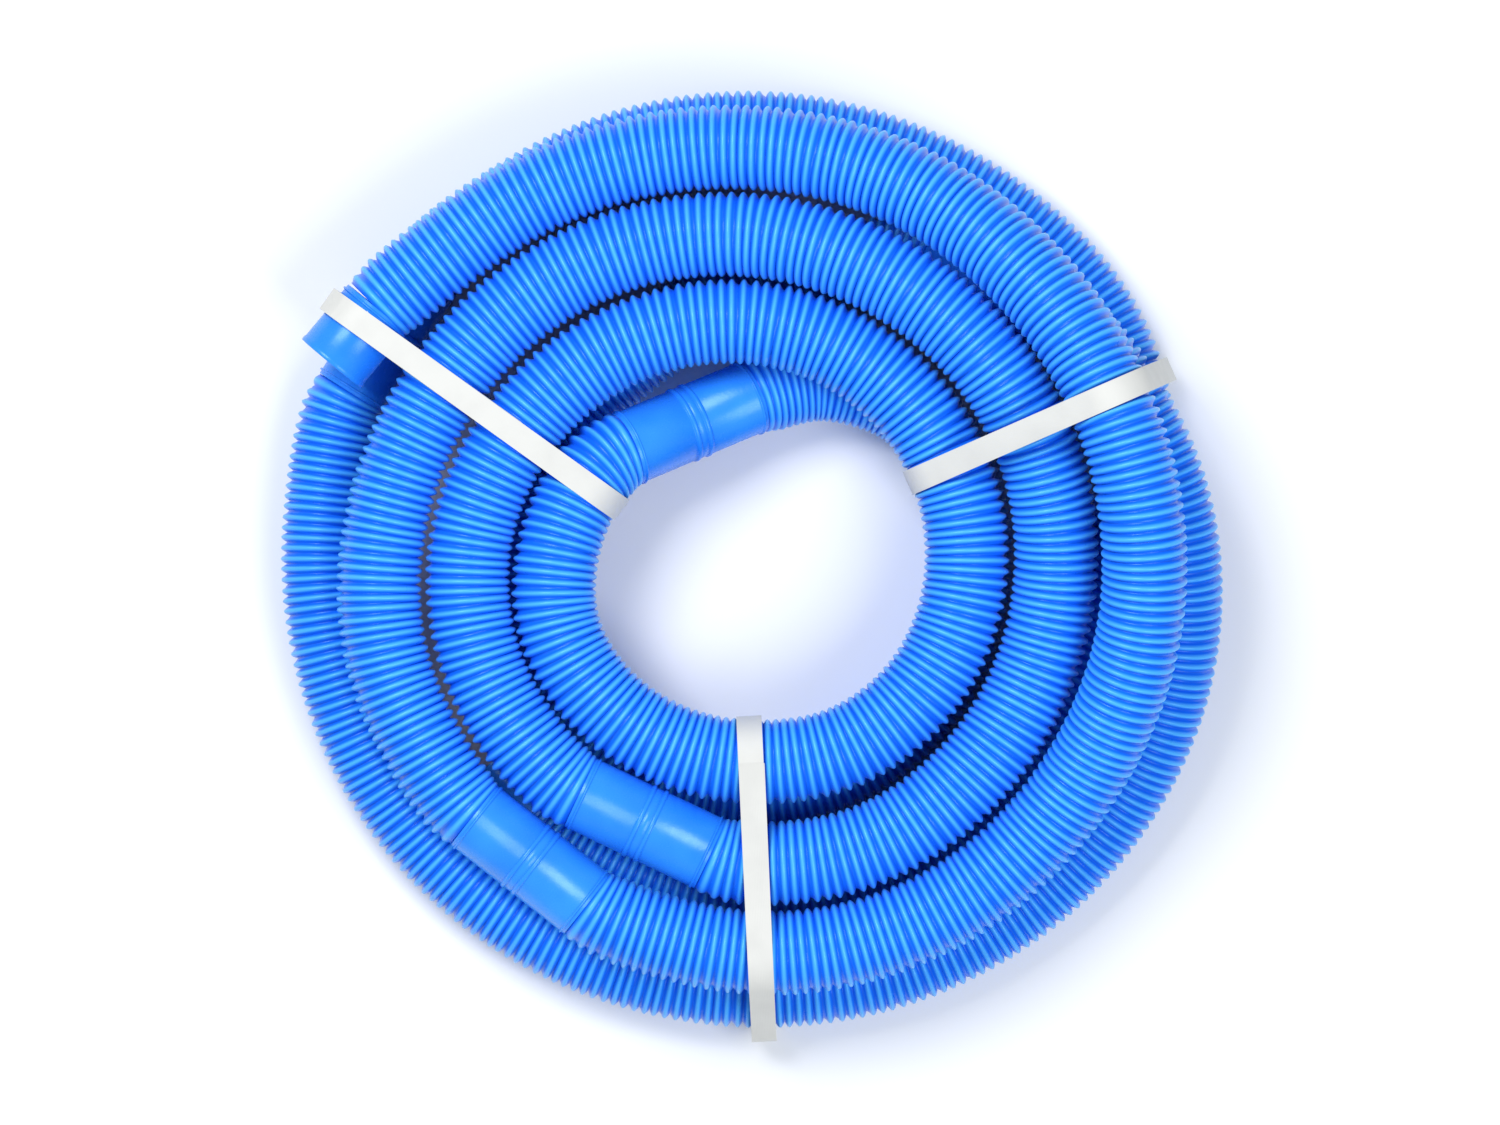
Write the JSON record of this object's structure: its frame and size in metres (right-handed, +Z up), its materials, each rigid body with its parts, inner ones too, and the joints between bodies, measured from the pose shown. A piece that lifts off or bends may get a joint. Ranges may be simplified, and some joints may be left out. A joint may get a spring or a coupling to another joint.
{
  "type": "vacuum hose",
  "caption": "Corrugated swimming pool vacuum hose with smooth cuffs, coiled flat in two layers and tied with strapping bands.",
  "frame": {"origin": "on the floor under the middle of the coil", "axes": "+Z up through the eye of the coil; the open upper end lies on the -X side and its mouth faces -X and -Y"},
  "size_m": [0.5321, 0.5387, 0.1522],
  "materials": {
    "blue_polyethylene": "semi-gloss blow-moulded",
    "white_strapping": "satin"
  },
  "bodies": {
    "root": {"hose_section_1": "blue_polyethylene", "hose_section_2": "blue_polyethylene", "hose_section_3": "blue_polyethylene", "hose_section_4": "blue_polyethylene", "hose_section_5": "blue_polyethylene", "hose_section_6": "blue_polyethylene", "end_cuff_upper": "blue_polyethylene", "middle_cuff_1": "blue_polyethylene", "middle_cuff_2": "blue_polyethylene", "middle_cuff_3": "blue_polyethylene", "middle_cuff_4": "blue_polyethylene", "middle_cuff_5": "blue_polyethylene", "end_cuff_lower": "blue_polyethylene", "band_outer_left": "white_strapping", "band_right": "white_strapping", "band_front": "white_strapping"}
  },
  "joints": []
}
